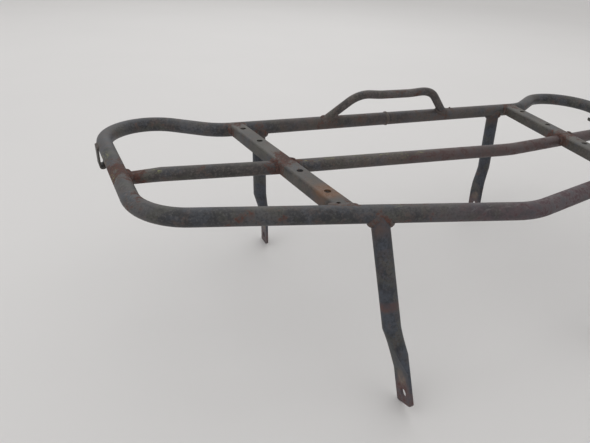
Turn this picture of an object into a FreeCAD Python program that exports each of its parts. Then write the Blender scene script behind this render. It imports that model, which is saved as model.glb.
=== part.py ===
import FreeCAD, Part
import Sketcher
import math
import os

# A welded steel carrier.  A flat closed loop of tube stands on four tube legs with crushed, drilled
# feet.  Two inverted-U channels and one centre rail cross the loop, a bent rod handle rises from its
# straight side and a flat strip hook hangs under each end.
#
# Row frame: X runs along the long side, +Y points to the side with the handle, Z is up.  The origin
# is on the ground, in the middle of the bounding box.  Drawing frame of the loop: its origin is where
# the middle of the straight handle-side rail meets the loop's plane of centre lines.

SIZES = [
    # tubes, rod and sheet
    ("tube_od", 22.2), ("tube_wall", 1.65), ("rail_od", 19.05), ("rail_wall", 1.5), ("rod_od", 14.0),
    # flat outline of the outer loop, at the crossings of its straight stretches
    ("shoulder_x", 308.5), ("shoulder_radius", 80.0),
    ("corner_x", 496.5), ("corner_y", 122.2), ("corner_radius", 68.9),
    ("rear_corner_x", 448.6), ("rear_corner_y", 260.4), ("rear_corner_radius", 76.5),
    ("apex_y", 364.4), ("apex_radius", 95.0),
    ("butt_gap", 1.2), ("butt_bead_width", 5.0), ("butt_bead_height", 1.3),
    # heights and the place of the drawing origin in the row frame
    ("loop_height", 211.5), ("loop_shift_y", 186.13),
    # legs: top places, lean towards -Y, tilt towards the middle, overall length, crush, foot
    ("handle_leg_left_x", 238.6), ("handle_leg_right_x", 245.0), ("handle_leg_lean", 6.0),
    ("handle_leg_tilt", 0.0), ("handle_leg_length", 211.28),
    ("open_leg_left_x", 188.3), ("open_leg_right_x", 188.3), ("open_leg_lean", 26.65),
    ("open_leg_tilt", 0.6), ("open_leg_length", 229.71),
    ("foot_length", 41.0), ("crush_length", 54.0), ("foot_width", 34.0), ("foot_thickness", 3.4),
    ("foot_offset", 7.5), ("foot_low_corner", 9.0), ("foot_high_corner", 4.0),
    ("half_crush_up", 22.0), ("half_crush_width", 27.0), ("half_crush_thickness", 15.0),
    ("half_crush_offset", 6.0),
    ("foot_hole", 11.0), ("foot_hole_up", 13.6),
    ("leg_start", 3.0), ("foot_slit_width", 27.0), ("foot_slit", 0.4), ("foot_slit_end", 2.0),
    # channels: pressed inverted U, top face height over the loop's centre lines
    ("channel_width", 24.4), ("channel_depth", 16.1), ("channel_sheet", 2.5), ("channel_top", 10.6),
    ("channel_fold", 3.5), ("channel_inner_fold", 1.0), ("channel_x", 277.4), ("channel_slant", 9.55),
    ("channel_length", 340.0), ("channel_hole", 9.0), ("channel_pilot", 5.5), ("channel_pilot_x", 5.5),
    # centre rail: start on the left end rail, three stretches with a bend between each, crimped ends
    ("centre_start_x", 462.5), ("centre_start_y", 141.5), ("centre_slant", 5.64),
    ("centre_lead", 213.5), ("centre_ease", 2.54), ("centre_ease_radius", 400.0),
    ("centre_run", 375.1), ("centre_bend", 9.95), ("centre_bend_radius", 160.0), ("centre_drop", 1.6),
    ("centre_tail", 341.5), ("crimp_flat", 14.0), ("crimp_length", 36.0),
    ("crimp_width", 21.0), ("crimp_height", 14.0), ("crimp_drop", 2.4),
    # handle, in a plane through the rail's axis that leans towards -Y
    ("handle_foot_x", 126.5), ("handle_top_x", 71.0), ("handle_rise", 59.0), ("handle_dip", 4.0),
    ("handle_radius", 43.0), ("handle_dip_radius", 90.0), ("handle_lean", 24.0),
    # strip hooks
    ("hook_y", 33.0), ("hook_strip", 2.5), ("hook_width", 22.0), ("hook_top", 2.0),
    ("hook_drop", 30.0), ("hook_curl", 4.5), ("hook_gap", 5.0), ("hook_tip", 3.0),
    # weld beads: how far the filler reaches from the joint line
    ("bead", 4.5), ("small_bead", 3.5), ("butt_bead_round", 1.0), ("end_bead_lift", 1.5),
    # cutting tools: the gap of a nearly closed sweep and sizes that reach well past the pieces
    ("tool_gap", 0.02), ("tool_reach", 200.0), ("leg_tool_height", 60.0), ("rail_weld_depth", 40.0),
    ("hook_weld_inset", 6.0), ("crossing_lift", 12.0), ("between_walls_lift", 14.0),
    ("corner_tool_spare", 2.0),
]
# Stations along a channel, from the handle-side rail's axis.
PIERCINGS = {
    "left": [("channel_hole", 30.0), ("channel_hole", 89.0), ("channel_hole", 208.0),
             ("channel_hole", 274.0), ("channel_pilot", 305.5)],
    "right": [("channel_hole", 48.0), ("channel_hole", 125.0), ("channel_hole", 218.5),
              ("channel_hole", 274.0), ("channel_pilot", 305.5)],
}
END_WELD_BANDS = (("handle_side", -3.0, 24.0), ("open_side", 296.0, 318.0))
CROSSING_BAND = (100.0, 250.0)
BETWEEN_WALLS_BAND = (90.0, 260.0)
SLOT_ROUNDING = 0.98    # corner radius of a pressed slot shape, as a share of half its height
CROWN_SHARE = 0.6       # width of the butt bead's crown, as a share of the bead
DIP_SHARE = 0.4         # where the handle's dip starts to rise, as a share of its bend's distance

doc = FreeCAD.newDocument("rear_rack")
sheet = doc.addObject("Spreadsheet::Sheet", "sizes")
for row, (alias, number) in enumerate(SIZES, start=1):
    sheet.set("A%d" % row, alias)
    sheet.set("B%d" % row, str(number))
    sheet.setAlias("B%d" % row, alias)
doc.recompute()


class Length:
    """A number together with the spreadsheet expression that gives it."""

    def __init__(self, value, text):
        self.value = value
        self.text = text

    def __add__(self, other):
        other = as_length(other)
        return Length(self.value + other.value, "(%s + %s)" % (self.text, other.text))

    def __sub__(self, other):
        other = as_length(other)
        return Length(self.value - other.value, "(%s - %s)" % (self.text, other.text))

    def __mul__(self, factor):
        return Length(self.value * factor, "(%s * %r)" % (self.text, factor))

    def __truediv__(self, divisor):
        return Length(self.value / divisor, "(%s / %r)" % (self.text, divisor))

    def __neg__(self):
        return Length(-self.value, "(-%s)" % self.text)


def as_length(item):
    return item if isinstance(item, Length) else Length(float(item), "%r" % float(item))


def size(alias):
    return Length(float(sheet.get(alias)), "sizes." + alias)


def bind(thing, prop, length):
    """Ties one property of a document object to the spreadsheet."""
    thing.setExpression(prop, length.text)


# ---- sketches -------------------------------------------------------------------------------------

def sketch_on(body, name, role, offset=None):
    """A sketch on one of the body's own origin planes, pushed along the plane's normal."""
    plane = [item for item in body.Origin.OriginFeatures if item.Role == role][0]
    sketch = body.newObject("Sketcher::SketchObject", name)
    sketch.AttachmentSupport = [(plane, "")]
    sketch.MapMode = "FlatFace"
    if offset is not None:
        sketch.AttachmentOffset = FreeCAD.Placement(FreeCAD.Vector(0, 0, offset.value), FreeCAD.Rotation())
        bind(sketch, ".AttachmentOffset.Base.z", offset)
    return sketch


def name_constraint(sketch, constraint, length, label):
    """Adds a dimension and drives it from the spreadsheet."""
    index = sketch.addConstraint(constraint)
    sketch.renameConstraint(index, label)
    bind(sketch, "Constraints." + label, length)


def pin_point(sketch, geometry, end, x, y, label):
    """Holds one point of the sketch at (x, y) from the sketch's origin."""
    for kind, length, axis in (("DistanceX", x, -2), ("DistanceY", y, -1)):
        if abs(length.value) < 1e-9:
            sketch.addConstraint(Sketcher.Constraint("PointOnObject", geometry, end, axis))
        elif length.value > 0:
            rule = Sketcher.Constraint(kind, -1, 1, geometry, end, length.value)
            name_constraint(sketch, rule, length, label + kind[-1])
        else:
            rule = Sketcher.Constraint(kind, geometry, end, -1, 1, -length.value)
            name_constraint(sketch, rule, -length, label + kind[-1])


def circle(sketch, radius, x=0.0, y=0.0, label="hole"):
    """A full circle of a driven radius at a driven place."""
    x, y = as_length(x), as_length(y)
    centre = FreeCAD.Vector(x.value, y.value, 0)
    index = sketch.addGeometry(Part.Circle(centre, FreeCAD.Vector(0, 0, 1), radius.value), False)
    name_constraint(sketch, Sketcher.Constraint("Radius", index, radius.value), radius, label + "_r")
    pin_point(sketch, index, 3, x, y, label)


def outline(sketch, corners, closed, label="p"):
    """Straight stretches between corners (x, y, radius); a corner with a radius becomes a tangent arc."""
    corners = [tuple(as_length(item) for item in corner) for corner in corners]
    count = len(corners)
    points = [FreeCAD.Vector(x.value, y.value, 0) for x, y, radius in corners]
    leave, arrive, arcs = [], [], []
    for i, (x, y, radius) in enumerate(corners):
        before, after = points[i - 1] - points[i], points[(i + 1) % count] - points[i]
        ends_here = not closed and i in (0, count - 1)
        if ends_here or radius.value == 0:
            leave.append(points[i])
            arrive.append(points[i])
            arcs.append(None)
            continue
        before.normalize()
        after.normalize()
        opening = before.getAngle(after)
        back = radius.value / math.tan(opening / 2)
        inward = before + after
        inward.normalize()
        centre = points[i] + inward * (radius.value / math.sin(opening / 2))
        first, last = points[i] + before * back, points[i] + after * back
        arrive.append(first)
        leave.append(last)
        arcs.append((centre, first, last, before.cross(after).z < 0))
    runs = count if closed else count - 1
    lines = [sketch.addGeometry(Part.LineSegment(leave[i], arrive[(i + 1) % count]), False)
             for i in range(runs)]
    for i, (x, y, radius) in enumerate(corners):
        tag = "%s%d" % (label, i)
        line_in, line_out = lines[i - 1], lines[i % runs]
        if arcs[i] is None and not closed and i in (0, count - 1):
            line, end = (lines[0], 1) if i == 0 else (lines[-1], 2)
            pin_point(sketch, line, end, x, y, tag)
        elif arcs[i] is None:
            sketch.addConstraint(Sketcher.Constraint("Coincident", line_in, 2, line_out, 1))
            pin_point(sketch, line_out, 1, x, y, tag)
        else:
            centre, first, last, left_turn = arcs[i]
            start, stop = (first, last) if left_turn else (last, first)
            from_angle = math.atan2(start.y - centre.y, start.x - centre.x)
            to_angle = math.atan2(stop.y - centre.y, stop.x - centre.x)
            to_angle += 2 * math.pi if to_angle < from_angle else 0
            round_part = Part.Circle(centre, FreeCAD.Vector(0, 0, 1), radius.value)
            arc = sketch.addGeometry(Part.ArcOfCircle(round_part, from_angle, to_angle), False)
            corner = sketch.addGeometry(Part.Point(points[i]), True)
            near, far = (1, 2) if left_turn else (2, 1)
            sketch.addConstraint(Sketcher.Constraint("Tangent", line_in, 2, arc, near))
            sketch.addConstraint(Sketcher.Constraint("Tangent", line_out, 1, arc, far))
            sketch.addConstraint(Sketcher.Constraint("PointOnObject", corner, 1, line_in))
            sketch.addConstraint(Sketcher.Constraint("PointOnObject", corner, 1, line_out))
            name_constraint(sketch, Sketcher.Constraint("Radius", arc, radius.value), radius, tag + "r")
            pin_point(sketch, corner, 1, x, y, tag)


# ---- solids ---------------------------------------------------------------------------------------

def new_body(name):
    return doc.addObject("PartDesign::Body", name)


def pad(body, name, sketch, length, symmetric=False, reverse=False):
    feature = body.newObject("PartDesign::Pad", name)
    feature.Profile = sketch
    bind(feature, "Length", length)
    feature.Midplane = symmetric
    feature.Reversed = reverse
    return feature


def pocket_through(body, name, sketch):
    """Cuts the sketch through everything on both sides of its plane."""
    feature = body.newObject("PartDesign::Pocket", name)
    feature.Profile = sketch
    feature.Type = "ThroughAll"
    feature.Midplane = True
    return feature


def pipe(body, name, profile, path):
    feature = body.newObject("PartDesign::AdditivePipe", name)
    feature.Profile = profile
    feature.Spine = (path, [])
    return feature


def loft(body, name, first, second, cut=False):
    kind = "PartDesign::SubtractiveLoft" if cut else "PartDesign::AdditiveLoft"
    feature = body.newObject(kind, name)
    feature.Profile = first
    feature.Sections = [second]
    return feature


def combine(kind, name, base, tool):
    """Part::Cut or Part::Common of two objects."""
    feature = doc.addObject(kind, name)
    feature.Base = base
    feature.Tool = tool
    return feature


def cut(name, base, *tools):
    """The base with every tool taken away, one after another."""
    for i, tool in enumerate(tools):
        last = i == len(tools) - 1
        base = combine("Part::Cut", name if last else "%s_less_%d" % (name, i + 1), base, tool)
    return base


def place(thing, x, y, z, rotation):
    thing.Placement = FreeCAD.Placement(FreeCAD.Vector(x, y, z), rotation)
    return thing


def turn(axis, degrees):
    return FreeCAD.Rotation(FreeCAD.Vector(*axis), degrees)


X_AXIS, Y_AXIS, Z_AXIS = (1, 0, 0), (0, 1, 0), (0, 0, 1)
SIDES = (("left", -1), ("right", 1))
NONE = Length(0.0, "0")


# ---- outer loop -----------------------------------------------------------------------------------

def loop_corners(start_x):
    """Corners of the loop's centre line, from the butt joint round to the right."""
    rear_x, rear_y, rear_r = size("rear_corner_x"), -size("rear_corner_y"), size("rear_corner_radius")
    far_x, far_y, far_r = size("corner_x"), size("corner_y"), size("corner_radius")
    bend_x, bend_r = size("shoulder_x"), size("shoulder_radius")
    return [
        (start_x, NONE, 0), (bend_x, NONE, bend_r), (far_x, far_y, far_r), (rear_x, rear_y, rear_r),
        (NONE, -size("apex_y"), size("apex_radius")),
        (-rear_x, rear_y, rear_r), (-far_x, far_y, far_r), (-bend_x, NONE, bend_r), (-start_x, NONE, 0),
    ]


LOOP_PLACE = (0, size("loop_shift_y").value, size("loop_height").value)


def loop_pipe(name, radii, gap):
    """A round tube or bar along the loop's centre line, open by the given gap at the butt joint."""
    body = new_body(name)
    path = sketch_on(body, name + "_path", "XY_Plane")
    outline(path, loop_corners(gap / 2), closed=False)
    profile = sketch_on(body, name + "_section", "YZ_Plane", gap / 2)
    for i, radius in enumerate(radii):
        circle(profile, radius, label="ring%d" % i)
    pipe(body, name + "_sweep", profile, path)
    return place(body, *LOOP_PLACE, FreeCAD.Rotation())


tube_radius = size("tube_od") / 2
bead = size("bead")
outer_loop = loop_pipe("outer_loop", [tube_radius, tube_radius - size("tube_wall")], size("butt_gap"))
loop_bar = loop_pipe("loop_bar", [tube_radius], size("tool_gap"))
loop_weld_zone = loop_pipe("loop_weld_zone", [tube_radius + bead], size("tool_gap"))

inside_loop = new_body("inside_loop")
inside_outline = sketch_on(inside_loop, "inside_outline", "XY_Plane")
outline(inside_outline, loop_corners(NONE)[1:-1], closed=True)
pad(inside_loop, "inside_pad", inside_outline, size("tool_reach"), symmetric=True)
place(inside_loop, *LOOP_PLACE, FreeCAD.Rotation())

# The butt weld: a root that fills the gap and a low crown round it.
loop_butt_weld = new_body("loop_butt_weld")
weld_half, crown = size("butt_bead_width") / 2, tube_radius + size("butt_bead_height")
bead_section = sketch_on(loop_butt_weld, "bead_section", "XY_Plane")
half_gap = size("butt_gap") / 2
inner_radius = tube_radius - size("tube_wall")
outline(bead_section, [
    (-half_gap, inner_radius, 0), (half_gap, inner_radius, 0), (half_gap, tube_radius, 0),
    (weld_half, tube_radius, 0), (weld_half * CROWN_SHARE, crown, size("butt_bead_round")),
    (-weld_half * CROWN_SHARE, crown, size("butt_bead_round")),
    (-weld_half, tube_radius, 0), (-half_gap, tube_radius, 0)], closed=True)
revolve = loop_butt_weld.newObject("PartDesign::Revolution", "bead_turn")
revolve.Profile = bead_section
revolve.ReferenceAxis = (bead_section, ["H_Axis"])
revolve.Angle = 360.0
place(loop_butt_weld, *LOOP_PLACE, FreeCAD.Rotation())


# ---- legs -----------------------------------------------------------------------------------------

def slot_outline(sketch, width, height, x_shift, label):
    """A closed slot shape, long in Y, centred at x_shift."""
    half_w, half_h = width / 2, height / 2
    corner = half_h * SLOT_ROUNDING
    outline(sketch, [(x_shift - half_h, -half_w, corner), (x_shift + half_h, -half_w, corner),
                     (x_shift + half_h, half_w, corner), (x_shift - half_h, half_w, corner)],
            closed=True, label=label)


def make_leg(name, length, low_side):
    """A straight tube along -Z from its top, crushed to one side in two steps into a drilled flat foot.

    The foot lies towards +X of the leg's own frame, which is the inner side.  Its corner towards
    low_side (1 or -1 on the leg's own Y), which stands lower because the leg leans, is the rounder."""
    body = new_body(name)
    start = size("leg_start")
    foot_top = length - size("foot_length")
    round_end = foot_top - size("crush_length")
    offset, foot_w, foot_t = size("foot_offset"), size("foot_width"), size("foot_thickness")
    half_end, half_offset = foot_top - size("half_crush_up"), size("half_crush_offset")
    half_w, half_t, wall2 = size("half_crush_width"), size("half_crush_thickness"), size("tube_wall") * 2

    def slot_section(tag, down, width, height, shift):
        section = sketch_on(body, name + tag, "XY_Plane", -down)
        slot_outline(section, width, height, shift, "s")
        return section

    top = sketch_on(body, name + "_top", "XY_Plane", -start)
    circle(top, tube_radius)
    pad(body, name + "_tube", top, round_end - start, reverse=True)
    round_section = sketch_on(body, name + "_round", "XY_Plane", -round_end)
    circle(round_section, tube_radius)
    half_crushed = slot_section("_half_crushed", half_end, half_w, half_t, half_offset)
    loft(body, name + "_bend", round_section, half_crushed)
    half_again = slot_section("_half_again", half_end, half_w, half_t, half_offset)
    loft(body, name + "_crush", half_again, slot_section("_flat", foot_top, foot_w, foot_t, offset))
    foot_section = slot_section("_foot_section", foot_top, foot_w, foot_t, offset)
    pad(body, name + "_foot", foot_section, size("foot_length"), reverse=True)

    bore = sketch_on(body, name + "_bore", "XY_Plane", -start)
    circle(bore, inner_radius)
    hollow = body.newObject("PartDesign::Pocket", name + "_hollow")
    hollow.Profile = bore
    bind(hollow, "Length", round_end - start)
    bore_end = sketch_on(body, name + "_bore_end", "XY_Plane", -round_end)
    circle(bore_end, inner_radius)
    half_bore = slot_section("_half_bore", half_end, half_w - wall2, half_t - wall2, half_offset)
    loft(body, name + "_bend_hollow", bore_end, half_bore, cut=True)
    half_bore_again = slot_section("_half_bore_again", half_end, half_w - wall2, half_t - wall2, half_offset)
    slit = slot_section("_slit", foot_top - size("foot_slit_end"), size("foot_slit_width"),
                        size("foot_slit"), offset)
    loft(body, name + "_crush_hollow", half_bore_again, slit, cut=True)

    # rounded corners of the foot, and its bolt hole, both cut along the leg's X
    corners = sketch_on(body, name + "_corners", "YZ_Plane")
    spare = size("corner_tool_spare")
    for side, tag in ((1, "a"), (-1, "b")):
        radius = size("foot_low_corner" if side == low_side else "foot_high_corner")
        edge, inner = foot_w / 2 * side, (foot_w / 2 - radius - spare) * side
        beyond = (foot_w / 2 + spare) * side
        outline(corners, [
            (edge, -length, radius), (edge, -(length - radius - spare), 0),
            (beyond, -(length - radius - spare), 0), (beyond, -(length + spare), 0),
            (inner, -(length + spare), 0), (inner, -length, 0)], closed=True, label=tag)
    pocket_through(body, name + "_rounding", corners)
    hole = sketch_on(body, name + "_hole", "YZ_Plane")
    circle(hole, size("foot_hole") / 2, 0, -(length - size("foot_hole_up")))
    pocket_through(body, name + "_drilling", hole)
    return body


def rail_y_at(x):
    """Y of the open-side rail's centre line, in the loop's drawing frame, on its straight stretch."""
    rise = (size("apex_y").value - size("rear_corner_y").value) / size("rear_corner_x").value
    return -size("apex_y").value + rise * abs(x)


LEGS = (("handle_side", "handle_leg"), ("open_side", "open_leg"))
nodes = [outer_loop, loop_butt_weld]
for end, alias in LEGS:
    for side, sign in SIDES:
        top_x = sign * size("%s_%s_x" % (alias, side)).value
        top_y = rail_y_at(top_x) if end == "open_side" else 0.0
        lean = turn(X_AXIS, -size(alias + "_lean").value)
        tilt = turn(Y_AXIS, sign * size(alias + "_tilt").value)
        spin = turn(Z_AXIS, 180.0 if sign > 0 else 0.0)
        spot = (top_x, top_y + LOOP_PLACE[1], LOOP_PLACE[2])
        node = "leg_%s_%s" % (end, side)
        raw = place(make_leg(node + "_raw", size(alias + "_length"), sign), *spot,
                    lean.multiply(tilt).multiply(spin))
        leg = cut(node, raw, loop_bar)
        core = doc.addObject("Part::Cylinder", node + "_core")
        zone = doc.addObject("Part::Cylinder", node + "_zone")
        for cylinder, radius in ((core, tube_radius), (zone, tube_radius + bead)):
            bind(cylinder, "Radius", radius)
            bind(cylinder, "Height", size("leg_tool_height"))
            place(cylinder, *spot, lean.multiply(tilt).multiply(turn(X_AXIS, 180.0)))
        collar = combine("Part::Common", node + "_collar", zone, loop_weld_zone)
        weld = cut("leg_weld_%s_%s" % (end, side), collar, loop_bar, core)
        nodes += [leg, weld]


# ---- centre rail ----------------------------------------------------------------------------------

rail_radius = size("rail_od") / 2
crimp_total = size("crimp_flat") + size("crimp_length")


def polar(length, angle):
    """The X and Y of a driven length laid at a driven angle in degrees."""
    radians = math.radians(angle.value)
    return (Length(length.value * math.cos(radians), "(%s * cos(%s * 1deg))" % (length.text, angle.text)),
            Length(length.value * math.sin(radians), "(%s * sin(%s * 1deg))" % (length.text, angle.text)))


def flat_slot(sketch, width, height, drop, label):
    """A closed slot shape, long across and lowered by drop."""
    half_w, half_h = width / 2, height / 2
    corner = half_h * SLOT_ROUNDING
    outline(sketch, [(-half_w, -half_h - drop, corner), (half_w, -half_h - drop, corner),
                     (half_w, half_h - drop, corner), (-half_w, half_h - drop, corner)],
            closed=True, label=label)


def crimped_end(name, hollow):
    """A pressed tube end that runs from a circle at X = 0 to a low slot shape, then stays flat."""
    body = new_body(name)
    wide, high, drop = size("crimp_width"), size("crimp_height"), size("crimp_drop")
    wall2 = size("rail_wall") * 2
    round_end = sketch_on(body, name + "_round", "YZ_Plane")
    circle(round_end, rail_radius)
    low_end = sketch_on(body, name + "_low", "YZ_Plane", size("crimp_length"))
    flat_slot(low_end, wide, high, drop, "s")
    loft(body, name + "_press", round_end, low_end)
    stub = sketch_on(body, name + "_stub", "YZ_Plane", size("crimp_length"))
    flat_slot(stub, wide, high, drop, "s")
    pad(body, name + "_flat", stub, size("crimp_flat"))
    if hollow:
        bore = sketch_on(body, name + "_bore", "YZ_Plane")
        circle(bore, rail_radius - size("rail_wall"))
        low_bore = sketch_on(body, name + "_low_bore", "YZ_Plane", size("crimp_length"))
        flat_slot(low_bore, wide - wall2, high - wall2, drop, "s")
        loft(body, name + "_press_bore", bore, low_bore, cut=True)
        stub_bore = sketch_on(body, name + "_stub_bore", "YZ_Plane", size("crimp_length"))
        flat_slot(stub_bore, wide - wall2, high - wall2, drop, "s")
        pocket = body.newObject("PartDesign::Pocket", name + "_flat_bore")
        pocket.Profile = stub_bore
        pocket.Reversed = True
        bind(pocket, "Length", size("crimp_flat"))
    return body


CENTRE_START = FreeCAD.Vector(-size("centre_start_x").value, LOOP_PLACE[1] - size("centre_start_y").value,
                              LOOP_PLACE[2] - size("centre_drop").value)
CENTRE_TURN = turn(Z_AXIS, -size("centre_slant").value)
RUN_TURN = turn(Z_AXIS, size("centre_ease").value - size("centre_slant").value)
TAIL_TURN = RUN_TURN.multiply(turn(Z_AXIS, size("centre_bend").value))
CENTRE_CORNER = CENTRE_START + CENTRE_TURN.multVec(FreeCAD.Vector(size("centre_lead").value, 0, 0)) \
    + RUN_TURN.multVec(FreeCAD.Vector(size("centre_run").value, 0, 0))


def centre_tube(name, radii):
    """The round middle of the centre rail, from crimp to crimp, with its two bends."""
    body = new_body(name)
    lead = size("centre_lead")
    run_x, run_y = polar(size("centre_run"), size("centre_ease"))
    tail_x, tail_y = polar(size("centre_tail") - crimp_total, size("centre_ease") + size("centre_bend"))
    path = sketch_on(body, name + "_path", "XY_Plane")
    outline(path, [(crimp_total, NONE, 0), (lead, NONE, size("centre_ease_radius")),
                   (lead + run_x, run_y, size("centre_bend_radius")),
                   (lead + run_x + tail_x, run_y + tail_y, 0)], closed=False)
    profile = sketch_on(body, name + "_section", "YZ_Plane", crimp_total)
    for i, radius in enumerate(radii):
        circle(profile, radius, label="ring%d" % i)
    pipe(body, name + "_sweep", profile, path)
    return place(body, *CENTRE_START, CENTRE_TURN)


def centre_member(name, radii, hollow):
    """Round middle and both crimped ends, joined."""
    pieces = [centre_tube(name + "_tube", radii)]
    left = crimped_end(name + "_left_end", hollow)
    from_start = CENTRE_TURN.multVec(FreeCAD.Vector(crimp_total.value, 0, 0))
    place(left, *(CENTRE_START + from_start), CENTRE_TURN.multiply(turn(Z_AXIS, 180.0)))
    right = crimped_end(name + "_right_end", hollow)
    tail = TAIL_TURN.multVec(FreeCAD.Vector(size("centre_tail").value - crimp_total.value, 0, 0))
    place(right, *(CENTRE_CORNER + tail), TAIL_TURN)
    joined = doc.addObject("Part::MultiFuse", name)
    joined.Shapes = pieces + [left, right]
    joined.Refine = False
    return joined


centre_bar = centre_member("centre_bar", [rail_radius], hollow=False)
centre_raw = centre_member("centre_raw", [rail_radius, rail_radius - size("rail_wall")], hollow=True)
centre_trimmed = combine("Part::Common", "centre_trimmed", centre_raw, inside_loop)
centre_rail = cut("centre_rail", centre_trimmed, loop_bar)
small_bead = size("small_bead")
centre_zone = centre_tube("centre_zone", [rail_radius + small_bead])
nodes.append(centre_rail)


# ---- channels -------------------------------------------------------------------------------------

channel_half, channel_top = size("channel_width") / 2, size("channel_top")
channel_foot = channel_top - size("channel_depth")


def block(name, grow, lift, near, far):
    """The channel's outer shape as a solid bar, grown sideways and upwards, between two stations."""
    body = new_body(name)
    section = sketch_on(body, name + "_section", "XZ_Plane", near)
    half, top = channel_half + grow, channel_top + lift
    fold = size("channel_fold")
    outline(section, [(-half, channel_foot - lift, 0), (half, channel_foot - lift, 0),
                      (half, top, fold), (-half, top, fold)], closed=True)
    pad(body, name + "_pad", section, far - near)
    return body


def pressed_channel(name, side, sign):
    """An inverted U pressed from sheet, pierced along its top."""
    body = new_body(name)
    thick, fold, inner_fold = size("channel_sheet"), size("channel_fold"), size("channel_inner_fold")
    section = sketch_on(body, name + "_section", "XZ_Plane")
    inner = channel_half - thick
    outline(section, [
        (-channel_half, channel_foot, 0), (-channel_half, channel_top, fold),
        (channel_half, channel_top, fold), (channel_half, channel_foot, 0), (inner, channel_foot, 0),
        (inner, channel_top - thick, inner_fold), (-inner, channel_top - thick, inner_fold),
        (-inner, channel_foot, 0)], closed=True)
    pad(body, name + "_press", section, size("channel_length"))
    piercing = sketch_on(body, name + "_piercing", "XY_Plane")
    for i, (alias, station) in enumerate(PIERCINGS[side]):
        across = size("channel_pilot_x") * sign if alias == "channel_pilot" else NONE
        circle(piercing, size(alias) / 2, across, -station, "hole%d" % i)
    pocket_through(body, name + "_holes", piercing)
    return body


for side, sign in SIDES:
    spot = (sign * size("channel_x").value, LOOP_PLACE[1], LOOP_PLACE[2])
    slant = turn(Z_AXIS, -sign * size("channel_slant").value)
    raw = place(pressed_channel(side + "_channel_raw", side, sign), *spot, slant)
    trimmed = combine("Part::Common", side + "_channel_trimmed", raw, inside_loop)
    channel = cut(side + "_channel", trimmed, loop_bar, centre_bar)
    solid = place(block(side + "_channel_block", NONE, NONE, NONE, size("channel_length")), *spot, slant)
    solid_in = combine("Part::Common", side + "_block_trimmed", solid, inside_loop)
    nodes.append(channel)
    for end, near, far in END_WELD_BANDS:
        tag = "channel_weld_%s_%s" % (end, side)
        zone = place(block(tag + "_zone", small_bead, size("end_bead_lift"), as_length(near),
                           as_length(far)), *spot, slant)
        crust = combine("Part::Common", tag + "_crust", zone, loop_weld_zone)
        nodes.append(cut(tag, crust, loop_bar, solid_in))
    near, far = [as_length(station) for station in CROSSING_BAND]
    zone = place(block(side + "_crossing", small_bead, size("crossing_lift"), near, far), *spot, slant)
    near, far = [as_length(station) for station in BETWEEN_WALLS_BAND]
    inner = place(block(side + "_between_walls", NONE, size("between_walls_lift"), near, far),
                  *spot, slant)
    ring = combine("Part::Common", side + "_ring", zone, centre_zone)
    nodes.append(cut("crossing_weld_" + side, ring, centre_bar, inner))


# ---- centre rail end welds ------------------------------------------------------------------------

for side, sign in SIDES:
    tag = "rail_end_weld_" + side
    zone = doc.addObject("Part::Box", tag + "_zone")
    depth = size("rail_weld_depth")
    width, height = size("crimp_width") + small_bead * 2, size("crimp_height") + small_bead * 2
    for prop, length in (("Length", depth), ("Width", width), ("Height", height)):
        bind(zone, prop, length)
    if sign < 0:
        anchor, spin = CENTRE_START, CENTRE_TURN
    else:
        anchor = CENTRE_CORNER + TAIL_TURN.multVec(FreeCAD.Vector(size("centre_tail").value, 0, 0))
        spin = TAIL_TURN.multiply(turn(Z_AXIS, 180.0))
    shift = FreeCAD.Vector(0, -width.value / 2, -height.value / 2 - size("crimp_drop").value)
    place(zone, *(anchor + spin.multVec(shift)), spin)
    collar = combine("Part::Common", tag + "_collar", zone, loop_weld_zone)
    nodes.append(cut(tag, collar, loop_bar, centre_bar))


# ---- handle ---------------------------------------------------------------------------------------

rod_radius = size("rod_od") / 2


def handle_bar(name, radius):
    """Half the handle swept from its middle, and its mirror image."""
    body = new_body(name)
    path = sketch_on(body, name + "_path", "XZ_Plane")
    low = size("handle_rise") - size("handle_dip")
    outline(path, [(NONE, low, 0), (size("handle_top_x") * DIP_SHARE, low, size("handle_dip_radius")),
                   (size("handle_top_x"), size("handle_rise"), size("handle_radius")),
                   (size("handle_foot_x"), NONE, 0)], closed=False)
    profile = sketch_on(body, name + "_section", "YZ_Plane")
    circle(profile, radius, 0, low)
    half = pipe(body, name + "_half", profile, path)
    mirror = body.newObject("PartDesign::Mirrored", name + "_mirror")
    mirror.Originals = [half]
    plane = [item for item in body.Origin.OriginFeatures if item.Role == "YZ_Plane"][0]
    mirror.MirrorPlane = (plane, [""])
    body.Tip = mirror
    return place(body, *LOOP_PLACE, turn(X_AXIS, size("handle_lean").value))


handle_raw = handle_bar("handle_raw", rod_radius)
handle_zone = handle_bar("handle_zone", rod_radius + small_bead)
nodes.append(cut("grab_handle", handle_raw, loop_bar))
handle_joints = cut("handle_joints", combine("Part::Common", "handle_collars", handle_zone, loop_weld_zone),
                    loop_bar, handle_raw)
for side, sign in SIDES:
    half_space = doc.addObject("Part::Box", "handle_half_" + side)
    reach = size("tool_reach")
    for prop in ("Length", "Width", "Height"):
        bind(half_space, prop, reach)
    place(half_space, min(sign, 0) * reach.value, LOOP_PLACE[1] - reach.value / 2,
          LOOP_PLACE[2] - reach.value / 2, FreeCAD.Rotation())
    nodes.append(combine("Part::Common", "handle_weld_" + side, handle_joints, half_space))


# ---- strap hooks ----------------------------------------------------------------------------------

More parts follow.
